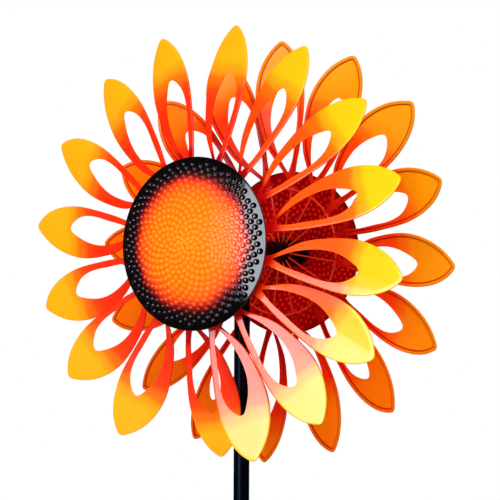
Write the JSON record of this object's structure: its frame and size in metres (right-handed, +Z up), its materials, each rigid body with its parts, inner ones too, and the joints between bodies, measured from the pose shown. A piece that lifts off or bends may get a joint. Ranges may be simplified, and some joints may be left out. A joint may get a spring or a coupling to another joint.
{
  "type": "wind spinner",
  "caption": "Garden wind spinner: two sunflower-like rotors of pierced sheet petals and domed embossed discs, back to back on a tall pole with a ground fork.",
  "frame": {"origin": "on the pole's axis at the ground line, the centre of the four prongs", "axes": "+Z up along the pole; the rotors turn about an axis along Y and the front disc faces -Y"},
  "size_m": [0.6051, 0.29, 1.9229],
  "materials": {
    "petal_enamel": "gloss, yellow at the tip fading to red-orange at the root",
    "disc_enamel": "gloss, orange middle fading to a black rim, dark red inside",
    "red_enamel": "gloss",
    "black_enamel": "gloss",
    "zinc_steel": "satin zinc",
    "bronze": "sintered",
    "black_plastic": "matte"
  },
  "bodies": {
    "pole": {"ground_fork_x": "black_enamel", "ground_fork_y": "black_enamel", "fork_socket": "black_enamel", "pole_lower": "black_enamel", "pole_middle": "black_enamel", "pole_upper": "black_enamel", "pole_sleeves": "zinc_steel", "pole_screws": "zinc_steel"},
    "head": {"head_tee": "black_enamel", "head_plugs": "black_plastic", "clamp_screw": "black_plastic", "axle": "zinc_steel", "axle_washers": "zinc_steel", "axle_nuts": "zinc_steel"},
    "front_rotor": {"front_hub": "black_enamel", "front_bushes": "bronze", "front_spokes": "red_enamel", "front_ring": "red_enamel", "front_disc_post": "black_enamel", "front_disc_bolts": "zinc_steel", "front_face_disc": "disc_enamel", "front_petal_01": "petal_enamel", "front_petal_02": "petal_enamel", "front_petal_03": "petal_enamel", "front_petal_04": "petal_enamel", "front_petal_05": "petal_enamel", "front_petal_06": "petal_enamel", "front_petal_07": "petal_enamel", "front_petal_08": "petal_enamel", "front_petal_09": "petal_enamel", "front_petal_10": "petal_enamel", "front_petal_11": "petal_enamel", "front_petal_12": "petal_enamel", "front_petal_13": "petal_enamel", "front_petal_14": "petal_enamel", "front_petal_15": "petal_enamel", "front_petal_16": "petal_enamel"},
    "rear_rotor": {"rear_hub": "black_enamel", "rear_bushes": "bronze", "rear_spokes": "red_enamel", "rear_ring": "red_enamel", "rear_disc_post": "black_enamel", "rear_disc_bolts": "zinc_steel", "rear_face_disc": "disc_enamel", "rear_petal_01": "petal_enamel", "rear_petal_02": "petal_enamel", "rear_petal_03": "petal_enamel", "rear_petal_04": "petal_enamel", "rear_petal_05": "petal_enamel", "rear_petal_06": "petal_enamel", "rear_petal_07": "petal_enamel", "rear_petal_08": "petal_enamel", "rear_petal_09": "petal_enamel", "rear_petal_10": "petal_enamel", "rear_petal_11": "petal_enamel", "rear_petal_12": "petal_enamel", "rear_petal_13": "petal_enamel", "rear_petal_14": "petal_enamel", "rear_petal_15": "petal_enamel", "rear_petal_16": "petal_enamel"}
  },
  "joints": [
    {"name": "head_turn", "type": "hinge", "parent": "pole", "child": "head", "pos_m": [0, 0, 1.38], "axis": [0, 0, 1], "continuous": true},
    {"name": "front_spin", "type": "hinge", "parent": "head", "child": "front_rotor", "pos_m": [0, -0.1, 1.38], "axis": [0, 1, 0], "continuous": true},
    {"name": "rear_spin", "type": "hinge", "parent": "head", "child": "rear_rotor", "pos_m": [0, 0.1, 1.38], "axis": [0, 1, 0], "continuous": true}
  ]
}
